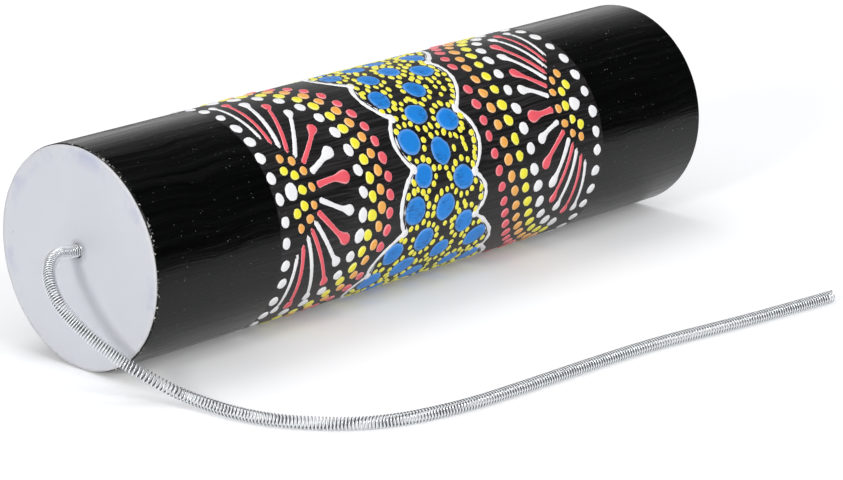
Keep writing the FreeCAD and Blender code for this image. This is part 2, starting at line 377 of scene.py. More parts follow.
# %% Spring tree
def wire_angle(tree, sockets):
    """How far the wire has turned about the route, at each point along it."""
    length = add(tree, "GeometryNodeSplineParameter").outputs["Length"]
    turns = 0.0
    start = 0.0
    for _, stretch, count in STRETCHES:
        turns = plus(tree, turns, ramp(tree, length, start, start + stretch, 0.0, count))
        start += stretch
    # Real turns lie a little unevenly, so a slow noise along the wire nudges all but the tail's.
    nudge = uneven(tree, join(tree, x=length), 260.0, 1.0, sockets["Wander"])
    nudged = calc(tree, "MULTIPLY_ADD", nudge, ramp(tree, length, TAIL, 2 * TAIL), turns)
    return calc(tree, "MULTIPLY_ADD", nudged, 2 * math.pi, sockets["Phase"])


def wound_spring_tree():
    tree, sockets = open_tree("wound spring", Coil=COIL, Wire=WIRE, Points=1000, Wander=0.12,
                              Phase=-2 * math.pi * turns_along(PIN_ALONG))
    line = as_curve(tree, sockets)
    cut = add(tree, "GeometryNodeResampleCurve", {"Curve": line, "Count": sockets["Points"]})
    coil_radius = times(tree, minus(tree, sockets["Coil"], sockets["Wire"]), 0.5)
    wire_radius = times(tree, sockets["Wire"], 0.5)
    angle = wire_angle(tree, sockets)
    side = add(tree, "GeometryNodeInputNormal").outputs["Normal"]
    up = vector_calc(tree, "CROSS_PRODUCT", add(tree, "GeometryNodeInputTangent").outputs[0], side)
    sideways = vector_calc(tree, "SCALE", side, scale=calc(tree, "COSINE", angle))
    upwards = vector_calc(tree, "SCALE", up, scale=calc(tree, "SINE", angle))
    outward = vector_calc(tree, "SCALE", vector_calc(tree, "ADD", sideways, upwards), scale=coil_radius)
    # Each point keeps its place on the route, which tells the wire's outer side from its inner one.
    # The finish darkens the inner side with painted shade.
    cored = store(tree, cut.outputs[0], "core", position(tree), data_type="FLOAT_VECTOR")
    wire = sweep(tree, move(tree, cored, Offset=outward), circle(tree, WIRE_SIDES, wire_radius))
    reach = vector_calc(tree, "DISTANCE", position(tree), stored(tree, "core", "FLOAT_VECTOR"))
    past = minus(tree, reach, minus(tree, coil_radius, wire_radius))
    marked = store(tree, wire, "outer", calc(tree, "DIVIDE", past, sockets["Wire"]))
    dropped = add(tree, "GeometryNodeRemoveAttribute", {"Geometry": marked, "Name": "core"})
    return close_tree(tree, sockets, dropped.outputs[0])


# %% [markdown]
# ## Finishes
#
# Every finish starts as one Principled shader whose plain values sit on its own sockets. What
# changes over the surface comes from nodes: brush streaks, dust, chips and the thick rims
# that drops of paint dry with.


# %% Finish helpers
def new_finish(name, **plain):
    """A material with one Principled shader. Underscores in a name stand for spaces."""
    finish = bpy.data.materials.new(name)
    finish.use_nodes = True
    tree = finish.node_tree
    shader = tree.nodes["Principled BSDF"]
    for label, value in plain.items():
        shader.inputs[label.replace("_", " ")].default_value = value
    return finish, tree, shader, add(tree, "ShaderNodeTexCoord").outputs["Object"]


def dress(tree, shader, colour, rough, relief, depth):
    """Give a shader its colour, its roughness, and a relief of a real depth."""
    tree.links.new(colour, shader.inputs["Base Color"])
    tree.links.new(rough, shader.inputs["Roughness"])
    bump = add(tree, "ShaderNodeBump", {"Height": relief, "Distance": depth})
    tree.links.new(bump.outputs[0], shader.inputs["Normal"])


def blend_colour(tree, factor, first, second):
    """Mix two colours by a factor from 0 to 1."""
    made = add(tree, "ShaderNodeMix", data_type="RGBA")
    fill(tree, made.inputs["Factor"], factor)
    for socket, colour in ((made.inputs[6], first), (made.inputs[7], second)):
        fill(tree, socket, (*colour, 1.0) if isinstance(colour, tuple) else colour)
    return made.outputs[2]


def mark(tree, label):
    """A number that a tree left on each point, such as how near it is to a rim."""
    return add(tree, "ShaderNodeAttribute", attribute_name=label).outputs["Fac"]


def axis_reach(tree, place):
    """How far out from the tube's axis a place is."""
    parts = split(tree, place)
    upright = minus(tree, parts["Z"], AXIS_Z)
    return calc(tree, "SQRT", plus(tree, times(tree, parts["Y"], parts["Y"]), times(tree, upright, upright)))


# %% Group helpers
def effect_group(name, inputs, output):
    """Start a shader node group with named inputs and one output."""
    tree = bpy.data.node_groups.new(name, "ShaderNodeTree")
    tree.interface.new_socket("Vector", in_out="INPUT", socket_type="NodeSocketVector")
    for label, value in inputs.items():
        socket = tree.interface.new_socket(label, in_out="INPUT", socket_type="NodeSocketFloat")
        socket.default_value = value
    tree.interface.new_socket(output, in_out="OUTPUT", socket_type="NodeSocketFloat")
    return tree, tree.nodes.new("NodeGroupInput").outputs, tree.nodes.new("NodeGroupOutput").inputs[0]


def place_group(tree, group, place, **values):
    """Put a shader node group in a material, with its own values."""
    return add(tree, "ShaderNodeGroup", {"Vector": place, **values}, node_tree=group).outputs[0]


# %% [markdown]
# ### Brush streaks and dust
#
# Paint brushed along a tube dries in long ridges. A noise texture that is squeezed along X
# gives them, and keeps no seam round the tube. Dust is the bright tips of a fine noise. Both
# are groups, because the black paint and every colour over it use them.

# %% Streak and dust groups
SWERVE = 4.0 * MM


def make_streaks():
    tree, inputs, streaks = effect_group(
        "brush streaks", {"Fineness": 700.0, "Squeeze": 0.03, "Raggedness": 0.5}, "Streaks")
    parts = split(tree, inputs["Vector"])
    swerve = uneven(tree, inputs["Vector"], 45.0, 2.0, times(tree, inputs["Raggedness"], SWERVE))
    squeezed = join(tree, times(tree, parts["X"], inputs["Squeeze"]),
                    plus(tree, parts["Y"], swerve), plus(tree, parts["Z"], swerve))
    fill(tree, streaks, noise(tree, squeezed, inputs["Fineness"], 3.0, 0.6))
    return tree


def make_dust():
    tree, inputs, specks = effect_group("dust", {"Size": 900.0, "Amount": 0.5}, "Specks")
    grain = noise(tree, inputs["Vector"], inputs["Size"], 1.0, 0.4)
    level = minus(tree, 0.86, times(tree, inputs["Amount"], 0.1))
    level = minus(tree, level, times(tree, noise(tree, inputs["Vector"], 55.0, 2.0), 0.08))
    fill(tree, specks, ramp(tree, grain, level, plus(tree, level, 0.02)))
    return tree


streak_group = make_streaks()
dust_group = make_dust()
print("groups:", streak_group.name, "and", dust_group.name)

# %% [markdown]
# ### Painted board
#
# One finish covers the whole tube. The ends are glossy black, brushed along. The band round
# the middle, where the pattern is, has a matt charcoal ground. Inside, past the edge of the
# paint, the board is bare brown paper. Where each begins is read from the place on the tube:
# along it for the bands, and out from the axis for the bore.

# %% Where each coat lies
BAND_START, BAND_END = -75.3 * MM, 74.6 * MM
BAND_EDGE = 0.1 * MM
PAINT_INSIDE = 9.0 * MM


def band_share(tree, x, place):
    """1 on the matt band round the middle, and 0 on the glossy ends."""
    wavy_x = plus(tree, x, uneven(tree, place, 160.0, 3.0, 0.9 * MM))
    past_start = ramp(tree, wavy_x, BAND_START - BAND_EDGE, BAND_START + BAND_EDGE)
    before_end = ramp(tree, wavy_x, BAND_END - BAND_EDGE, BAND_END + BAND_EDGE, 1.0, 0.0)
    return times(tree, past_start, before_end)


def bare_share(tree, x, place):
    """1 in the bore, past the ragged edge of the paint, where the board is bare."""
    inner = ramp(tree, axis_reach(tree, place), RADIUS - WALL + 0.3 * MM, RADIUS - WALL + 0.9 * MM, 1.0, 0.0)
    ragged_x = plus(tree, x, uneven(tree, place, 90.0, 4.0, 14 * MM))
    paint_end = tube_high.x - PAINT_INSIDE
    return times(tree, inner, ramp(tree, ragged_x, paint_end - 0.6 * MM, paint_end, 1.0, 0.0))


def chip_share(tree, x, place):
    """1 on the chips along the sharp edge beside the skin, where pale board shows."""
    near_skin = ramp(tree, x, tube_low.x + 0.2 * MM, tube_low.x + 1.5 * MM, 1.0, 0.0)
    level = ramp(tree, noise(tree, place, 75.0, 2.0), 0.35, 0.65, 0.68, 0.58)
    grain = minus(tree, noise(tree, place, 950.0, 2.0, 0.6), level)
    return times(tree, ramp(tree, grain, 0.0, 0.03), near_skin)


# %% Painted board
# A pair of colours is the dark and the light end of what a noise goes between.
GLOSS_BLACK = (0.0005, 0.0006, 0.0006), (0.0024, 0.0026, 0.0026)
# The charcoal's lighter end, along the brush streaks, is partly real brush marks and partly painted sheen.
CHARCOAL_AND_SHEEN = (0.0062, 0.0056, 0.0058), (0.034, 0.031, 0.033)
BARE_PAPER = (0.20, 0.125, 0.072), (0.36, 0.245, 0.155)
DUST = (0.42, 0.42, 0.43)
PALE_BOARD = (0.62, 0.60, 0.57)


def painted_board():
    finish, tree, shader, place = new_finish("painted_board", Specular_IOR_Level=0.23)
    x = split(tree, place)["X"]
    streaks = place_group(tree, streak_group, place, Fineness=520.0, Squeeze=0.035, Raggedness=1.0)
    fine = place_group(tree, streak_group, place, Fineness=1500.0, Squeeze=0.02, Raggedness=0.6)
    specks = place_group(tree, dust_group, place, Size=1500.0, Amount=0.5)
    band, bare = band_share(tree, x, place), bare_share(tree, x, place)
    # Lighter charcoal along the fine streaks: brush marks in the paint, with a painted sheen on them.
    charcoal = blend_colour(tree, ramp(tree, fine, 0.42, 0.70), *CHARCOAL_AND_SHEEN)
    black = blend_colour(tree, band, blend_colour(tree, streaks, *GLOSS_BLACK), charcoal)
    dusty = blend_colour(tree, times(tree, specks, 0.4), black, DUST)
    chipped = blend_colour(tree, chip_share(tree, x, place), dusty, PALE_BOARD)
    paper = blend_colour(tree, noise(tree, place, 1300.0, 4.0, 0.7), *BARE_PAPER)
    gloss = ramp(tree, streaks, 0.3, 0.75, 0.16, 0.34)
    matt = ramp(tree, fine, 0.3, 0.7, 0.34, 0.52)
    rough = between(tree, bare, between(tree, band, gloss, matt), 0.9)
    relief = plus(tree, times(tree, streaks, 0.8), times(tree, fine, 0.25))
    dress(tree, shader, blend_colour(tree, bare, chipped, paper), rough, relief, 0.12 * MM)
    return finish


board_finish = painted_board()
print("finish:", board_finish.name)

# %% [markdown]
# ### Coloured paint
#
# The dots and strokes are thick acrylic, pressed from a nozzle or a stick. Each dries with a
# raised rim and a thinner, darker middle, and a painted highlight lightens the rim towards
# white. The tree that stamps the dots leaves two numbers on each point: how near it is to its
# dot's rim, and the tint of the whole dot.

# %% Coloured paint
BLACK_BENEATH = (0.004, 0.012, 0.03)


def coloured_paint(name, colour, middle, rough=0.38, thinned=0.0):
    """A finish for dots and strokes. Thinned paint lets the black show through its brush marks."""
    finish, tree, shader, place = new_finish(name, Specular_IOR_Level=0.35)
    rim = mark(tree, "rim")
    fine = place_group(tree, streak_group, place, Fineness=1800.0, Squeeze=0.25, Raggedness=1.0)
    thin = times(tree, ramp(tree, rim, 0.55, 0.9, 1.0, 0.0), ramp(tree, fine, 0.3, 0.8, 0.55, 1.0))
    body = blend_colour(tree, thin, colour, middle)
    # Painted highlight: the raised rim is lightened towards white, as if it caught the light.
    rim_highlight = ramp(tree, rim, 0.70, 0.90, 0.0, 0.3 if thinned else 0.55)
    body = blend_colour(tree, rim_highlight, body, tuple(0.5 + 0.5 * part for part in colour))
    shade = tuple(0.86 * part for part in colour)
    body = blend_colour(tree, times(tree, mark(tree, "tint"), 0.5), body, shade)
    if thinned:
        patchy = ramp(tree, noise(tree, place, 150.0, 3.0, 0.6), 0.46, 0.66)
        marks = times(tree, patchy, ramp(tree, fine, 0.44, 0.60))
        body = blend_colour(tree, times(tree, marks, thinned), body, BLACK_BENEATH)
    dress(tree, shader, body, ramp(tree, fine, 0.2, 0.8, rough - 0.06, rough + 0.12), fine, 0.05 * MM)
    return finish


PAINTS = {"white": coloured_paint("white_paint", (0.92, 0.92, 0.925), (0.80, 0.795, 0.80)),
          "coral": coloured_paint("coral_paint", (0.88, 0.14, 0.17), (0.79, 0.08, 0.11)),
          "yellow": coloured_paint("yellow_paint", (0.94, 0.88, 0.06), (0.88, 0.77, 0.015)),
          "orange": coloured_paint("orange_paint", (0.92, 0.47, 0.10), (0.87, 0.35, 0.06)),
          "blue": coloured_paint("blue_paint", (0.004, 0.24, 0.73), (0.001, 0.195, 0.66), 0.40, 0.6)}
print("paints:", ", ".join(PAINTS))

# %% [markdown]
# ### Film, wire, plated steel and glue
#
# The skin is milky plastic film: light scatters in it, so the glue behind its rim shows as
# faint cold patches. The wire is bright zinc, with painted shade that darkens the inside of
# its turns, where the coils shade each other. The washer and pin behind the skin are dull
# plated steel, and the glue is cloudy and glossy. The last three differ only in their
# values, so one function makes them.

# %% Film finish
MILK = (0.555, 0.571, 0.613), (0.62, 0.63, 0.66)
GLUE_BEHIND = (0.40, 0.43, 0.57)
TRIMMED_EDGE = (0.64, 0.635, 0.65)
GRIME = (0.16, 0.16, 0.17)


def head_film():
    finish, tree, shader, place = new_finish(
        "head_film", Specular_IOR_Level=0.4, Subsurface_Weight=0.35, Subsurface_Scale=0.8 * MM,
        Subsurface_Radius=(1.0, 0.95, 0.9))
    reach = axis_reach(tree, place)
    cloud = noise(tree, place, 38.0, 3.0, 0.55)
    rim_zone = ramp(tree, reach, RADIUS - 6.5 * MM, RADIUS - 1.5 * MM)
    patch = ramp(tree, noise(tree, place, 62.0, 4.0, 0.6), 0.52, 0.66)
    glued = times(tree, times(tree, rim_zone, patch), 0.75)
    milk = blend_colour(tree, glued, blend_colour(tree, cloud, *MILK), GLUE_BEHIND)
    warm = ramp(tree, reach, RADIUS - 2.2 * MM, RADIUS - 0.2 * MM, 0.0, 0.6)
    edged = blend_colour(tree, warm, milk, TRIMMED_EDGE)
    specks = place_group(tree, dust_group, place, Size=420.0, Amount=0.1)
    spotted = blend_colour(tree, times(tree, specks, 0.5), edged, GRIME)
    rough = ramp(tree, cloud, 0.3, 0.7, 0.42, 0.54)
    dress(tree, shader, spotted, rough, noise(tree, place, 900.0, 3.0), 0.012 * MM)
    return finish


film_finish = head_film()
print("finish:", film_finish.name)


# %% Mottled finishes
def mottled(name, grain, colours, rough, relief_scale, depth, inside=None, **plain):
    """A finish whose colour and roughness drift with one noise, under a relief from a finer one, with painted
    shade on a coil's inner side if an inside colour is given.
    """
    finish, tree, shader, place = new_finish(name, **plain)
    mottle = noise(tree, place, *grain)
    colour = blend_colour(tree, mottle, *colours)
    # Painted shade: the wire's inner side, towards the coil's core, is darkened towards the inside colour.
    if inside:
        colour = blend_colour(tree, ramp(tree, mark(tree, "outer"), 0.30, 0.80), inside, colour)
    relief = noise(tree, place, relief_scale, 2.0)
    dress(tree, shader, colour, ramp(tree, mottle, 0.3, 0.7, *rough), relief, depth)
    return finish


# The wire's inside colour is painted shade inside the turns, where the coils shade each other.
wire_finish = mottled("spring_wire", (900.0, 3.0, 0.6), ((0.80, 0.83, 0.86), (0.91, 0.93, 0.95)),
                      (0.28, 0.36), 5000.0, 0.01 * MM, inside=(0.20, 0.205, 0.215), Metallic=1.0)
steel_finish = mottled("zinc_steel", (700.0, 4.0, 0.65), ((0.38, 0.38, 0.37), (0.60, 0.60, 0.59)),
                       (0.32, 0.55), 4000.0, 0.01 * MM, Metallic=1.0)
glue_finish = mottled("clear_glue", (260.0, 3.0), ((0.70, 0.64, 0.48), (0.84, 0.80, 0.68)),
                      (0.14, 0.26), 420.0, 0.25 * MM, Specular_IOR_Level=0.5, Subsurface_Weight=0.4,
                      Subsurface_Scale=1.5 * MM, Subsurface_Radius=(1.0, 0.85, 0.6))
print("finishes:", wire_finish.name, steel_finish.name, glue_finish.name)

# %% [markdown]
# ## The spring
#
# The wire is wound on the route as one mesh, which takes the imported spring's place.

spring = grow("coil_spring", route, wound_spring_tree(), Material=wire_finish,
              Points=round(turns_along(route_length) * POINTS_PER_TURN))
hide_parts("spring")
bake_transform(spring)

# %% [markdown]
# ## The tube
#
# Spiral-wound board is cut to length, so the tube is its wall's section swept round a circle:
# a long thin strip, sharp beside the skin and rounded by handling at the open end. A tree
# sweeps it, and gives the outside the slight waves that a brush leaves in thick paint.

# %% Wall's section
RIM_ROUND = 0.6 * MM
EDGE_BREAK = 0.12 * MM
FIRM_EDGE = 0.5 * MM
SECTION_STEP = 6.0 * MM
RIM_STEPS = 5


def wall_section():
    """The wall's outline: along the tube, and out from the axis."""
    start, end, outside, inside = tube_low.x, tube_high.x, RADIUS, RADIUS - WALL
    # Points close to each edge keep the smooth shading of the long wall from bending near it.
    firm_start, firm_end = start + EDGE_BREAK + FIRM_EDGE, end - RIM_ROUND - FIRM_EDGE
    steps = round((firm_end - firm_start) / SECTION_STEP)
    straight = [firm_start + (firm_end - firm_start) * number / steps for number in range(steps + 1)]
    straight = [start + EDGE_BREAK] + straight + [end - RIM_ROUND]
    outline = [(start, outside - EDGE_BREAK)] + [(x, outside) for x in straight]
    for radius_side, quarter in ((outside - RIM_ROUND, 0), (inside + RIM_ROUND, 1)):
        for number in range(1, RIM_STEPS + 1):
            angle = math.pi / 2 * (1 - number / RIM_STEPS - quarter)
            outline.append((end - RIM_ROUND + RIM_ROUND * math.cos(angle),
                            radius_side + RIM_ROUND * math.sin(angle)))
    outline += [(x, inside) for x in reversed(straight)] + [(start, inside + EDGE_BREAK)]
    return outline


outline = wall_section()
# In the sweep a section's first axis points out from the ring, and its second one along it.
section_points = [(reach - RADIUS, -x, 0.0) for x, reach in outline]
section_edges = [(number, (number + 1) % len(outline)) for number in range(len(outline))]
section_mesh = mesh_of("wall_section", section_points, section_edges)
print("wall's section has", len(outline), "points")


# %% Tube
def swept_wall_tree():
    tree, sockets = open_tree("swept wall", Radius=RADIUS, Axis_height=AXIS_Z, Segments=240, Wave=0.05 * MM)
    round_path = circle(tree, sockets["Segments"], sockets["Radius"])
    swept = sweep(tree, round_path, as_curve(tree, sockets), caps=False)
    # The circle lies flat, so the tube stands up: lay it down along X, at its height.
    laid = transform(tree, swept, Translation=join(tree, z=sockets["Axis height"]), Rotation=LAID_ALONG_X)
    normal = add(tree, "GeometryNodeInputNormal").outputs["Normal"]
    wave = uneven(tree, position(tree), 55.0, 2.0, sockets["Wave"])
    return close_tree(tree, sockets, move(tree, laid, Offset=vector_calc(tree, "SCALE", normal, scale=wave)))


tube = grow("painted_tube", section_mesh, swept_wall_tree(), Material=board_finish)
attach(tube, "drum")
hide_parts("tube")

# %% [markdown]
# ## The painting
#
# The pattern is the common dot painting of such tubes: a river of blue pools and yellow dots
# runs round the middle between two white scalloped banks, and on each side of it stand fans
# of strokes under arcs of dots. It is planned flat, as if the tube's skin of paint were peeled
# off: x runs along the tube, y round it, and the height stands for the paint's thickness. The
# pattern is drawn by rule, so every fan comes from one function, and a tree then stamps the
# paint and bends it round the tube.

# %% Layout of the river's banks
TURN = 360.0
# Where the scallops of each bank meet: degrees from the top towards the player, and mm along.
LEFT_BANK = [(-16, -21), (13, -18), (42, -15.5), (71, -15.5), (104, -20.5), (128, -31), (153, -30),
             (180, -21), (208, -16.5), (236, -15.5), (265, -17), (292, -24), (318, -30), (344, -21)]
RIGHT_BANK = [(-24, 30), (9, 20.5), (46, 12.5), (81, 11.5), (105, 12.5), (134, 24.5), (160, 30),
              (186, 22), (214, 14), (243, 12), (272, 14), (300, 22), (336, 30)]
# Each bank, with the side of the river that it stands on.
BANKS = ((LEFT_BANK, -1), (RIGHT_BANK, 1))
BULGE = 4.5 * MM


def across(degrees):
    """The flat y of an angle that is measured from the top towards the player."""
    return -RADIUS * math.radians(degrees)


def bank_place(cusps, degrees, side):
    """A bank's x at an angle: straight from cusp to cusp, and swelled outwards between them."""
    degrees = (degrees - cusps[0][0]) % TURN + cusps[0][0]
    looped = cusps + [(cusps[0][0] + TURN, cusps[0][1])]
    for (start, x_start), (end, x_end) in zip(looped, looped[1:]):
        if degrees <= end:
            share = (degrees - start) / (end - start)
            swell = 4 * share * (1 - share) * BULGE
            return (x_start + (x_end - x_start) * share) * MM + side * swell
    return cusps[0][1] * MM


def river_edges(y):
    """The x of the left and the right bank at a flat y."""
    degrees = -math.degrees(y / RADIUS)
    return [bank_place(cusps, degrees, side) for cusps, side in BANKS]


front_left, front_right = river_edges(across(60))
print("river is", round(front_right - front_left, 4), "wide at the front")

# %% [markdown]
# ### The plan's dots and strokes
#
# The plan is two books, one of dots and one of strokes, each sorted by colour, because one
# mesh of each colour is lighter than hundreds of small objects. A painter's hand is never
# exact, so one seeded source of chance shifts and sizes every mark, the same on every run.

# %% Layout helpers
DOTS = {}
STROKES = {}
draw = random.Random(7)


def keep_dot(colour, x, y, diameter):
    """Note a dot of a colour in the flat plan."""
    DOTS.setdefault(colour, []).append((x, y, diameter / 2))


def keep_stroke(colour, points, widths):
    """Note a stroke of a colour: its points in the flat plan, and its width at each."""
    STROKES.setdefault(colour, []).append((points, widths))


def evenly(path, spacing):
    """Places at an even spacing along a line, centred so that both ends keep the same rest."""
    steps = [math.dist(here, there) for here, there in zip(path, path[1:])]
    count = int(sum(steps) / spacing)
    wanted = (sum(steps) - count * spacing) / 2
    places = []
    walked = 0.0
    for (here, there), step in zip(zip(path, path[1:]), steps):
        while wanted <= walked + step and len(places) <= count:
            share = (wanted - walked) / step
            places.append((here[0] + (there[0] - here[0]) * share, here[1] + (there[1] - here[1]) * share))
            wanted += spacing
        walked += step
    return places


# %% [markdown]
# ### Fans
#
# A fan grows out of a hub at the edge of the band and faces the river. Round its hub stand two
# half rings of dots, then strokes spread out, and four arcs of dots close it off. The sizes
# are in millimetres, as a painter would measure them.

# %% Arcs and hub of a fan
FAN_HALF = ROUND / 4 - 2.0 * MM
NEAR_BANK = 3.2 * MM
ARC_FOOT = 3.0 * MM
SLIP = 0.15 * MM
SIZE_SPREAD = (0.93, 1.07)
# Each arc of dots over a fan, from the inside out: the dots' size and spacing in mm, and colour.
ARCS = [(4.25, 7.0, "white"), (3.95, 5.9, "yellow"), (3.8, 5.9, "orange"), (3.8, 5.8, "coral")]
# The hub's two rings of dots: how many, their reach along and round the tube, size and spread.
HUB = [(5, 4.8, 7.0, 3.4, "yellow", 88), (7, 8.8, 11.5, 3.1, "orange", 84)]
HUB_MIDDLE = 5.6


def fan_dot(fan, colour, along, round_it, diameter):
    """Note a dot of a fan, slightly out of place, unless it would touch the river's bank."""
    centre_x, centre_y, facing = fan
    x, y = centre_x + facing * along, centre_y + round_it
    left, right = river_edges(y)
    bank_gap = left - x if facing > 0 else x - right
    if bank_gap > NEAR_BANK:
        keep_dot(colour, x + draw.gauss(0, SLIP), y + draw.gauss(0, SLIP),
                 diameter * draw.uniform(*SIZE_SPREAD) * MM)


def lay_arcs(fan, first_arc, arc_step, turn):
    """Arcs of dots: the first reaches so far along the tube and round it, and the others further."""
    for number, (diameter, spacing, colour) in enumerate(ARCS):
        reach_x, reach_y = (first + number * step for first, step in zip(first_arc, arc_step))
        arc = [(reach_x * MM * math.cos(angle), reach_y * MM * math.sin(angle) + turn * MM)
               for angle in (math.radians(degrees) for degrees in range(-90, 91))]
        inside = [place for place in arc if abs(place[1]) < FAN_HALF and place[0] > ARC_FOOT]
        for along, round_it in evenly(inside, spacing * MM):
            fan_dot(fan, colour, along, round_it, diameter)


def lay_hub(fan):
    """One white dot, and two half rings of dots round it."""
    fan_dot(fan, "white", 0, 0, HUB_MIDDLE)
    for count, reach_x, reach_y, diameter, colour, span in HUB:
        for number in range(count):
            angle = math.radians(span * (2 * number / (count - 1) - 1))
            fan_dot(fan, colour, reach_x * MM * math.cos(angle), reach_y * MM * math.sin(angle), diameter)


# %% Strokes of a fan
STROKE_COUNT = 15
STROKE_ANGLE = 13.4
STROKE_REST = 4.4
# How far from the hub the middle stroke starts, and how much further the outermost ones do.
STROKE_START, START_FALL = 11, 9
STROKE_BOW = 0.8
END_SLIP = 0.5
BOLDNESS = (0.88, 1.1)
SIDE_THINNING = 0.3
# A stroke starts with a small round foot, narrows to a stem and ends in a round blob. Its widths
# are in shares of the blob's radius, at distances from the foot and from the blob's tip.
BLOB_RADIUS = 2.1 * MM
FOOT = [(0.0, 0.45), (0.12, 0.88), (0.35, 1.08), (0.8, 0.98)]
BLOB = [(3.6, 0.86), (2.7, 0.97), (2.1, 1.3), (1.6, 1.74), (1.1, 2.0), (0.6, 1.86), (0.25, 1.35), (0.0, 0.5)]


def stroke_widths(length, radius):
    """A stroke's widths along its length, each with its share of the length."""
    foot = [(distance * radius / length, width * radius) for distance, width in FOOT]
    blob = [(1 - distance * radius / length, width * radius) for distance, width in BLOB]
    return foot + blob


def lay_strokes(fan, first_arc):
    """Strokes from the hub to the first arc, white and coral in turn, and thinner to the sides."""
    centre_x, centre_y, facing = fan
    middle = STROKE_COUNT // 2
    for number in range(-middle, middle + 1):
        angle = math.radians(STROKE_ANGLE * number)
        end = Vector(((first_arc[0] - STROKE_REST) * math.cos(angle),
                      (first_arc[1] - STROKE_REST) * math.sin(angle))) * MM
        start = end.normalized() * (STROKE_START + START_FALL * (number / middle) ** 2) * MM
        bow = Vector((-end.y, end.x)).normalized() * draw.uniform(-STROKE_BOW, STROKE_BOW) * MM
        end += Vector((draw.gauss(0, END_SLIP), draw.gauss(0, END_SLIP))) * MM
        bold = draw.uniform(*BOLDNESS) * (1 - SIDE_THINNING * abs(number) / middle)
        shape = stroke_widths((end - start).length, bold * BLOB_RADIUS)
        points = [start.lerp(end, share) + bow * 4 * share * (1 - share) for share, _ in shape]
        flat = [(centre_x + facing * point.x, centre_y + point.y) for point in points]
        keep_stroke("coral" if (number + middle) % 2 else "white", flat, [width for _, width in shape])


# %% Two fans on each side, half a turn apart
# A fan: its hub's x and angle, the way it faces, its first arc and the step to the next, and a turn.
FANS = [(-67.7 * MM, 65.4, 1, (29.0, 47.5), (3.95, 4.8), 1.0),
        (64.8 * MM, 60.8, -1, (27.0, 45.0), (5.5, 4.3), 0.0)]

for half_turn in (0, 180):
    for hub_x, degrees, facing, first_arc, arc_step, turn in FANS:
        fan = (hub_x, across(degrees + half_turn), facing)
        lay_arcs(fan, first_arc, arc_step, turn)
        lay_hub(fan)
        lay_strokes(fan, first_arc)
print({colour: len(dots) for colour, dots in DOTS.items()}, "dots in the fans")

# %% [markdown]
# ### Edges and banks
#
# A row of white dots closes the pattern at each end. A bank is one long white line that a dry
# brush has left uneven, with a broken thin line beside it where the bristles split. A dot of
# paint sits where two scallops meet.

# %% Edge rows and banks
EDGE_DOTS = 32
EDGE_ROWS = (-73.2 * MM, 71.6 * MM)
EDGE_SIZES = (3.5, 4.3)
BANK_WIDTHS = (1.05, 1.85)
ECHO_GAP = 1.5 * MM
ECHO_WIDTH = 0.6
THINNEST = 0.02
CUSP_DOT = 3.2 * MM

for row_x in EDGE_ROWS:
    for number in range(EDGE_DOTS):
        x = row_x + draw.gauss(0, 0.2 * MM)
        y = number * ROUND / EDGE_DOTS + draw.gauss(0, 0.25 * MM)
        keep_dot("white", x, y, draw.uniform(*EDGE_SIZES) * MM)
for cusps, side in BANKS:
    path = [(bank_place(cusps, degrees, side), across(degrees)) for degrees in range(-180, 181, 2)]
    keep_stroke("bank", path, [draw.uniform(*BANK_WIDTHS) * MM for _ in path])
    echo = [(x - side * ECHO_GAP, y) for x, y in path]
    keep_stroke("bank", echo, [max(THINNEST, draw.uniform(-ECHO_WIDTH, ECHO_WIDTH)) * MM for _ in echo])
    for degrees, x in cusps:
        keep_dot("white", x * MM, across(degrees), CUSP_DOT)
print({colour: len(strokes) for colour, strokes in STROKES.items()}, "strokes")

# %% [markdown]
# ### Stamping dots
#
# A dot of thick paint is a low dome with a raised rim. One dome of a few dozen faces is
# enough: the tree instances it on every planned point, at that point's size, turns and
# stretches each one a little, makes them real, wobbles their outlines with a noise so that no
# two are alike, and bends the lot round the tube.


# %% Bending the plan round the tube
def bend_round(tree, geometry):
    """Turn y into an angle and height into reach.

    Paint that would stand below the floor, under the tube, is pressed flat there.
    """
    parts = split(tree, position(tree))
    angle = calc(tree, "DIVIDE", parts["Y"], RADIUS)
    reach = plus(tree, parts["Z"], RADIUS)
    height = calc(tree, "MULTIPLY_ADD", reach, calc(tree, "COSINE", angle), AXIS_Z)
    sideways = times(tree, reach, calc(tree, "SINE", angle))
    bent = join(tree, parts["X"], sideways, calc(tree, "MAXIMUM", height, 0.0))
    return move(tree, geometry, Position=bent)


# %% One dome of paint
# The dome's height at each distance from its middle, both in shares: a dip, a rim and a steep edge.
DOME_PROFILE = [(0.0, 0.8), (1.0, 0.0), (0.68, 1.0), (0.87, 0.8)]
DOME_RINGS = 3
RING_SPREAD = 0.35


def paint_dome(tree, sockets):
    """A dome of unit radius: a cone pushed out to a low profile with a raised rim."""
    cone = add(tree, "GeometryNodeMeshCone", {"Vertices": sockets["Sides"], "Side Segments": DOME_RINGS,
                                              "Radius Top": 0.0, "Radius Bottom": 1.0, "Depth": 1.0})
    parts = split(tree, position(tree))
    slope = calc(tree, "MAXIMUM", minus(tree, 1.0, parts["Z"]), 0.01)
    rim = calc(tree, "POWER", slope, RING_SPREAD)
    profile = add(tree, "ShaderNodeFloatCurve", {"Value": rim})
    line = profile.mapping.curves[0]
    for point, place in zip(line.points, DOME_PROFILE):
        point.location = place
    for place in DOME_PROFILE[2:]:
        line.points.new(*place)
    thick = plus(tree, sockets["Height"], sockets["Sink"])
    spread = calc(tree, "DIVIDE", rim, slope)
    shaped = join(tree, times(tree, parts["X"], spread), times(tree, parts["Y"], spread),
                  minus(tree, times(tree, profile.outputs[0], thick), sockets["Sink"]))
    return move(tree, store(tree, cone.outputs["Mesh"], "rim", rim), Position=shaped)


# %% Dots tree
def chance(tree, low, high, seed):
    """A random number for each point."""
    made = add(tree, "FunctionNodeRandomValue", {"Min": low, "Max": high, "Seed": seed}, data_type="FLOAT")
    return made.outputs["Value"]


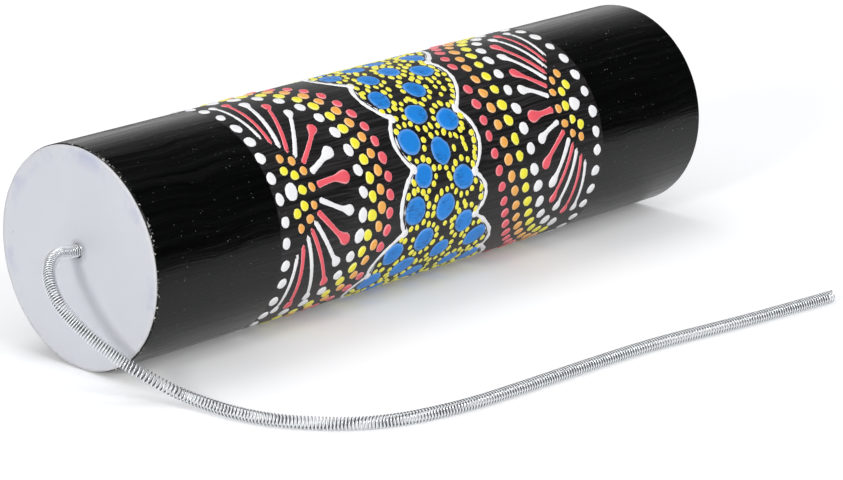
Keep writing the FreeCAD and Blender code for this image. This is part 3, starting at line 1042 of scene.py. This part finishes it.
def stamped_dots_tree():
    """Put a dome on each point, wobble the outlines and bend the paint round the tube."""
    tree, sockets = open_tree("stamped dots", Height=0.35 * MM, Sink=0.1 * MM, Wobble=1.1 * MM, Stretch=0.06,
                              Tall=0.06, Sides=12)
    radius = stored(tree, "size")
    stretch = calc(tree, "MULTIPLY_ADD", chance(tree, -1.0, 1.0, 1), sockets["Stretch"], sockets["Tall"])
    scale = join(tree, times(tree, radius, minus(tree, 1.0, stretch)),
                 times(tree, radius, plus(tree, 1.0, stretch)), chance(tree, 0.8, 1.15, 2))
    stamped = add(tree, "GeometryNodeInstanceOnPoints", {
        "Points": sockets["Geometry"], "Instance": paint_dome(tree, sockets),
        "Rotation": join(tree, z=chance(tree, -0.5, 0.5, 3)), "Scale": scale})
    tinted = store(tree, stamped.outputs[0], "tint", chance(tree, 0.0, 1.0, 4), domain="INSTANCE")
    real = add(tree, "GeometryNodeRealizeInstances", {"Geometry": tinted})
    ragged = add(tree, "ShaderNodeTexNoise", {"Vector": position(tree), "Scale": 330.0, "Detail": 1.0})
    push = vector_calc(tree, "SCALE", vector_calc(tree, "SUBTRACT", ragged.outputs["Color"], (0.5, 0.5, 0.5)),
                       scale=sockets["Wobble"])
    level = vector_calc(tree, "MULTIPLY", push, (1.0, 1.0, 0.0))
    return close_tree(tree, sockets, bend_round(tree, move(tree, real.outputs[0], Offset=level)))


# %% Dots of the fans
def paint_on(piece):
    """Paint belongs to the tube: it moves with the drum."""
    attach(piece, "drum")


dots_tree = stamped_dots_tree()
for colour, dots in DOTS.items():
    places = [(x, y, 0.0) for x, y, _ in dots]
    plan = mesh_of(colour + "_plan", places, size=[radius for _, _, radius in dots])
    paint_on(grow(colour + "_dots", plan, dots_tree, Material=PAINTS[colour]))

# %% [markdown]
# ### Drawing strokes
#
# A stroke is a line of points with a width at each. The tree makes it a smooth curve and sweeps
# a flattened ring along it, scaled by that width, so that one tree draws the thin banks and the
# drop-shaped strokes of the fans.


# %% Strokes tree
def drawn_strokes_tree():
    tree, sockets = open_tree("drawn strokes", Step=0.5 * MM, Flatness=0.24, Wobble=0.4 * MM)
    smooth = add(tree, "GeometryNodeCurveSplineType", {"Curve": as_curve(tree, sockets)},
                 spline_type="CATMULL_ROM")
    cut = add(tree, "GeometryNodeResampleCurve", {"Curve": smooth.outputs[0], "Length": sockets["Step"]},
              mode="LENGTH")
    level = add(tree, "GeometryNodeSetCurveNormal", {"Curve": cut.outputs[0]}, mode="Z_UP")
    shaky = minus(tree, noise(tree, position(tree), 1000.0, 2.0), 0.5)
    wide = calc(tree, "MULTIPLY_ADD", shaky, times(tree, sockets["Wobble"], 2.0), stored(tree, "width"))
    # The rim is marked on the ring before the sweep: 1 at its sides, and 0 over the stroke's middle.
    rim = times(tree, calc(tree, "ABSOLUTE", split(tree, position(tree))["X"]), 2.0)
    marked = store(tree, circle(tree, 10, 0.5), "rim", rim)
    flat = transform(tree, marked, Scale=join(tree, 1.0, sockets["Flatness"], 1.0))
    return close_tree(tree, sockets, bend_round(tree, sweep(tree, level.outputs[0], flat, Scale=wide)))


strokes_tree = drawn_strokes_tree()
for colour, strokes in STROKES.items():
    points, edges, widths = [], [], []
    for line, line_widths in strokes:
        first = len(points)
        points += [(x, y, 0.0) for x, y in line]
        edges += [(first + number, first + number + 1) for number in range(len(line) - 1)]
        widths += line_widths
    plan = mesh_of(colour + "_lines", points, edges, width=widths)
    finish = PAINTS["white" if colour == "bank" else colour]
    paint_on(grow(colour + "_strokes", plan, strokes_tree, Material=finish))

# %% [markdown]
# ### Blue pools
#
# Between the banks, blue pools are scattered with a least distance between them, which
# Blender's Poisson disk scatter does with a fixed seed on a flat strip of river bed.

# %% Blue pools
POOL_MARGIN = 6.2 * MM
POOL_SPACING = 11.6 * MM
POOL_SIZES = (3.7, 5.0)
# The bed stops just short of the underside, where the flat plan's two ends meet.
BED_END = 176


def river_bed(margin):
    """A flat strip between the banks, narrowed by a margin on each side."""
    points, faces = [], []
    rows = range(-BED_END, BED_END + 1, 2)
    for degrees in rows:
        left, right = river_edges(across(degrees))
        points += [(left + margin, across(degrees), 0.0), (right - margin, across(degrees), 0.0)]
    for first in range(0, 2 * (len(rows) - 1), 2):
        faces.append((first, first + 2, first + 3, first + 1))
    return mesh_of("river_bed", points, (), faces)


def scatter(name, bed, spacing, seed):
    """Places on a river bed, no two of them nearer than the spacing."""
    tree, sockets = open_tree("scatter", Spacing=spacing)
    scattered = add(tree, "GeometryNodeDistributePointsOnFaces",
                    {"Mesh": sockets["Geometry"], "Distance Min": sockets["Spacing"],
                     "Density Max": 1.0e6, "Seed": seed}, distribute_method="POISSON")
    loose = add(tree, "GeometryNodePointsToVertices", {"Points": scattered.outputs["Points"]})
    piece = grow(name, bed, close_tree(tree, sockets, loose.outputs[0]))
    places = [vertex.co.copy() for vertex in piece.data.vertices]
    bpy.data.objects.remove(piece)
    return places


pools = scatter("pool_middles", river_bed(POOL_MARGIN), POOL_SPACING, 3)
pool_sizes = [draw.uniform(*POOL_SIZES) * MM for _ in pools]
pool_plan = mesh_of("pool_plan", pools, size=pool_sizes)
paint_on(grow("blue_pools", pool_plan, dots_tree, Material=PAINTS["blue"], Height=0.25 * MM,
              Wobble=1.2 * MM, Stretch=0.10, Tall=0.0, Sides=20))
print(len(pools), "pools")

# %% [markdown]
# ### Yellow dots of the river
#
# Yellow dots come after the pools, as the painter sets them: in a ring round each pool, in a
# row along each bank, and then wherever there is still room. A dot that would land on a pool
# or too near another one is left out. Here and there two wet dots have run together.

# %% Places for the yellow dots
SPECK_SPACING = 2.7 * MM
SPECK_GAP = 2.35 * MM
SPECK_EDGE = 1.9 * MM
SHORE_GAP = 2.3 * MM
POOL_GAP = 0.6 * MM
RING_GAP = 1.15 * MM
RING_SPACING = 1.06 * SPECK_SPACING
TWIN_GAP = 1.5 * MM
TWIN_EVERY = 9
SPECK_SLIP = 0.14
SPECK_SIZES = (0.9, 1.25)


def turned(angle, distance):
    """A flat step of a distance, in the direction of an angle."""
    return Vector((distance * math.cos(angle), distance * math.sin(angle), 0.0))


def ring_places(middle, size):
    """Places in a ring round a pool, which starts at a random angle."""
    ring = size + RING_GAP
    count = round(2 * math.pi * ring / RING_SPACING)
    start = draw.uniform(0, 2 * math.pi)
    return [middle + turned(start + 2 * math.pi * number / count, ring) for number in range(count)]


def shore_places(cusps, side):
    """Places in a row along a bank."""
    shore = [(bank_place(cusps, degrees, side) - side * SHORE_GAP, across(degrees))
             for degrees in range(-BED_END, BED_END + 1)]
    return [Vector((*place, 0.0)) for place in evenly(shore, SPECK_SPACING)]


def has_room(place):
    """Whether a yellow dot would lie between the banks and clear of the pools."""
    left, right = river_edges(place.y)
    off_pools = all((place - middle).length > size + POOL_GAP for middle, size in zip(pools, pool_sizes))
    return left + SPECK_EDGE < place.x < right - SPECK_EDGE and off_pools


# %% Yellow dots of the river
strewn = scatter("speck_middles", river_bed(SPECK_EDGE), SPECK_SPACING, 5)
wanted = [place for middle, size in zip(pools, pool_sizes) for place in ring_places(middle, size)]
wanted += [place for cusps, side in BANKS for place in shore_places(cusps, side)]
free = []
for place in wanted + strewn:
    if has_room(place) and all((place - other).length > SPECK_GAP for other in free):
        free.append(place)
for place in free[::TWIN_EVERY]:
    twin = place + turned(draw.uniform(0, 2 * math.pi), TWIN_GAP)
    if has_room(twin):
        free.append(twin)
jittered = [place + Vector((draw.gauss(0, SPECK_SLIP), draw.gauss(0, SPECK_SLIP), 0.0)) * MM
            for place in free]
speck_plan = mesh_of("speck_plan", jittered, size=[draw.uniform(*SPECK_SIZES) * MM for _ in free])
paint_on(grow("river_dots", speck_plan, dots_tree, Material=PAINTS["yellow"], Height=0.3 * MM,
              Wobble=0.6 * MM, Stretch=0.1, Tall=0.12, Sides=10))
print(len(free), "yellow dots in the river")

# %% [markdown]
# ## The skin
#
# The skin is a disc of film glued flat to the tube's end. A round grid would crease at the
# small hole, which is a little above the middle, so the disc is rings that pass smoothly from
# the hole's circle to the rim's. The film sags and ripples by a fraction of a millimetre.

# %% Skin's shape
HOLE_RADIUS = 2.2 * MM
FILM = skin_high.x - skin_low.x
FILM_INSET = 0.3 * MM
TRIM_SLIP = 0.16 * MM
SKIN_RINGS = 26
SKIN_SIDES = 120
# In mm: how deep the film dishes, how high it ripples, and its small crease above the hole.
DISH, RIPPLE, CREASE = 0.22, 0.10, 0.22


def film_swell(y, z):
    """How far the film stands in or out of flat: a shallow dish, ripples, and a small crease."""
    reach = math.hypot(y, z - AXIS_Z) / RADIUS
    dish = -DISH * math.sin(math.pi * min(1.0, reach)) ** 2
    ripple = RIPPLE * mathutils.noise.noise(Vector((3.0, y * 70, z * 70))) * (1 - reach ** 4)
    off_y, off_z = y + 0.5 * MM, z - HOLE_Z - 6.5 * MM
    crease = CREASE * math.exp(-(off_y / (0.5 * MM)) ** 2 - (off_z / (2.4 * MM)) ** 2)
    return (dish + ripple + crease) * MM


def skin_ring(share, back):
    """The points of one ring, from the hole at share 0 to the rim at 1, on the film's front or back."""
    middle_z = HOLE_Z + (AXIS_Z - HOLE_Z) * share
    ring = []
    for number in range(SKIN_SIDES):
        angle = 2 * math.pi * number / SKIN_SIDES
        trimmed = TRIM_SLIP * mathutils.noise.noise(Vector((5 * math.cos(angle), 5 * math.sin(angle), 7.0)))
        radius = HOLE_RADIUS + (RADIUS - FILM_INSET + trimmed - HOLE_RADIUS) * share
        y, z = radius * math.sin(angle), middle_z + radius * math.cos(angle)
        swell = film_swell(y, z) * (1 - share ** 8) * min(1.0, 4 * share)
        ring.append((skin_low.x + back * FILM + swell, y, z))
    return ring


# %% Skin
def make_skin():
    """Join the rings into one closed shell, front and back."""
    shares = [(number / SKIN_RINGS) ** 0.8 for number in range(SKIN_RINGS + 1)]
    places = [skin_ring(share, 0) for share in shares] + [skin_ring(share, 1) for share in reversed(shares)]
    builder = bmesh.new()
    rings = [[builder.verts.new(point) for point in ring] for ring in places]
    for here, there in zip(rings, rings[1:] + rings[:1]):
        for number in range(SKIN_SIDES):
            after = (number + 1) % SKIN_SIDES
            builder.faces.new((here[number], here[after], there[after], there[number]))
    bmesh.ops.recalc_face_normals(builder, faces=builder.faces)
    for face in builder.faces:
        face.smooth = abs(face.normal.x) > 0.5
    mesh = bpy.data.meshes.new("film_skin")
    builder.to_mesh(mesh)
    builder.free()
    mesh.materials.append(film_finish)
    print("film_skin", len(mesh.polygons), "faces")
    return new_object("film_skin", mesh)


skin = make_skin()
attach(skin, "drum")
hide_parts("drum_head")

# %% [markdown]
# ## Inside the tube
#
# The board is wound from strips of paper, so a low seam runs round the bore in a helix. Behind
# the skin, the glue ring, the washer, the pin and its drops of glue are right as they were
# packed, and only take their finishes.

# %% Seam in the bore
SEAM_INSET = 2 * MM


def ply_seam_tree():
    tree, sockets = open_tree("ply seam", Bore=RADIUS - WALL, Length=0.2, Strip=75.0 * MM, Width=0.7 * MM)
    helix = add(tree, "GeometryNodeCurveSpiral", {
        "Resolution": 64, "Rotations": calc(tree, "DIVIDE", sockets["Length"], sockets["Strip"]),
        "Start Radius": sockets["Bore"], "End Radius": sockets["Bore"], "Height": sockets["Length"]})
    laid = transform(tree, helix.outputs[0], Translation=join(tree, x=tube_low.x + SEAM_INSET, z=AXIS_Z),
                     Rotation=LAID_ALONG_X)
    size = join(tree, times(tree, sockets["Width"], 0.35), sockets["Width"], 1.0)
    flat = transform(tree, circle(tree, 6, 0.5), Scale=size)
    return close_tree(tree, sockets, sweep(tree, laid, flat))


seam = grow("ply_seam", bpy.data.meshes.new("ply_seam"), ply_seam_tree(), Material=board_finish,
            Length=tube_high.x - tube_low.x - 2 * SEAM_INSET)
paint_on(seam)

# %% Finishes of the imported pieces
for node, finish in (("head_glue", glue_finish), ("pin_glue", glue_finish), ("spring_washer", steel_finish),
                     ("toggle_pin", steel_finish)):
    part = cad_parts[node]
    part.data.materials.clear()
    part.data.materials.append(finish)
    print("finished", node)

# %% [markdown]
# ## The stage
#
# The floor is plain and pale, and runs on past the picture. Seen in gloss, the pale sheet ends
# a little way from the tube and the room past it is dim, because a black tube shows its shape
# only by what it reflects. The lamps don't reach the far floor, so it glows a little more there.

# %% Floor
SHEET_HALF_WIDTH = 0.19
SHEET_HALF_LENGTH = 0.45
FLOOR_RADIUS = 6.0
FLOOR_DROP = 0.05 * MM


def make_floor():
    floor = new_object("floor", bpy.data.meshes.new("floor"))
    builder = bmesh.new()
    bmesh.ops.create_circle(builder, cap_ends=True, radius=FLOOR_RADIUS, segments=96)
    builder.to_mesh(floor.data)
    builder.free()
    floor.location.z = -FLOOR_DROP
    finish, tree, shader, place = new_finish("pale_floor", Roughness=0.9, Specular_IOR_Level=0.1,
                                             Emission_Color=(1.0, 1.0, 1.0, 1.0))
    path = add(tree, "ShaderNodeLightPath").outputs
    seen = calc(tree, "MAXIMUM", path["Is Camera Ray"], path["Is Glossy Ray"])
    seen = calc(tree, "MAXIMUM", seen, path["Is Transmission Ray"])
    parts = split(tree, place)
    past_side = minus(tree, calc(tree, "ABSOLUTE", parts["Y"]), SHEET_HALF_WIDTH)
    past_end = minus(tree, calc(tree, "ABSOLUTE", parts["X"]), SHEET_HALF_LENGTH)
    beyond = ramp(tree, calc(tree, "MAXIMUM", past_side, past_end), -0.01, 0.01)
    dim = times(tree, beyond, path["Is Glossy Ray"])
    ground = blend_colour(tree, dim, (0.90, 0.90, 0.90), (0.02, 0.02, 0.02))
    tree.links.new(ground, shader.inputs["Base Color"])
    glow = ramp(tree, vector_calc(tree, "LENGTH", place), 0.6, 3.5, 0.16, 0.5)
    lit = times(tree, seen, minus(tree, 1.0, dim))
    tree.links.new(times(tree, lit, glow), shader.inputs["Emission Strength"])
    floor.data.materials.append(finish)


make_floor()
print("floor reaches", FLOOR_RADIUS, "each way")

# %% [markdown]
# ## The room and its lamps
#
# The room is what the gloss shows: a pale sweep behind the tube, a soft box over it, a grey
# wall at the skin's end, and dimness in front. Three soft lamps light the tube from the left,
# from above and from the front, at a level where a colour renders about as it is written.


# %% Room
def make_world():
    world = bpy.data.worlds.new("studio")
    world.use_nodes = True
    tree = world.node_tree
    path = add(tree, "ShaderNodeLightPath").outputs
    parts = split(tree, add(tree, "ShaderNodeTexCoord").outputs["Generated"])
    behind = calc(tree, "MULTIPLY_ADD", parts["X"], 0.55, times(tree, parts["Y"], 0.83))
    sweep_low = ramp(tree, parts["Z"], 0.25, 0.66, 1.0, 0.0)
    pale_sweep = times(tree, ramp(tree, behind, 0.45, 0.75), sweep_low)
    soft_box = ramp(tree, parts["Z"], 0.78, 0.9)
    grey_wall = ramp(tree, parts["X"], -0.1, 0.35, 0.45, 0.02)
    room = calc(tree, "MAXIMUM", calc(tree, "MAXIMUM", pale_sweep, soft_box), grey_wall)
    seen = calc(tree, "MAXIMUM", path["Is Camera Ray"], path["Is Transmission Ray"])
    ambient = blend_colour(tree, path["Is Glossy Ray"], (0.60, 0.61, 0.635), room)
    white = blend_colour(tree, seen, ambient, (1.0, 1.0, 1.0))
    tree.links.new(white, tree.nodes["Background"].inputs["Color"])
    bpy.context.scene.world = world


make_world()
print("world:", bpy.context.scene.world.name)

# %% Lamps
# Each lamp: its place, what it points at, its size, its power and its colour.
LAMPS = {"side_lamp": ((-1.5, -0.43, 0.62), (-0.05, 0, 0.04), 0.3, 9.5, (1.0, 0.99, 0.98)),
         "top_lamp": ((0.1, 0.5, 1.6), (0, 0, 0.03), 1.0, 6.0, (1.0, 1.0, 1.0)),
         "front_lamp": ((0.0, -1.5, 1.0), (0, 0, 0.03), 0.8, 8.5, (1.0, 1.0, 1.0))}

for name, (place, target, size, power, colour) in LAMPS.items():
    lamp = new_object(name, bpy.data.lights.new(name, "AREA"))
    lamp.data.shape = "DISK"
    lamp.data.size = size
    lamp.data.energy = power
    lamp.data.color = colour
    lamp.location = place
    lamp.rotation_euler = (Vector(target) - Vector(place)).to_track_quat("-Z", "Y").to_euler()
bpy.context.scene.view_settings.view_transform = "Standard"
print(len(LAMPS), "lamps")
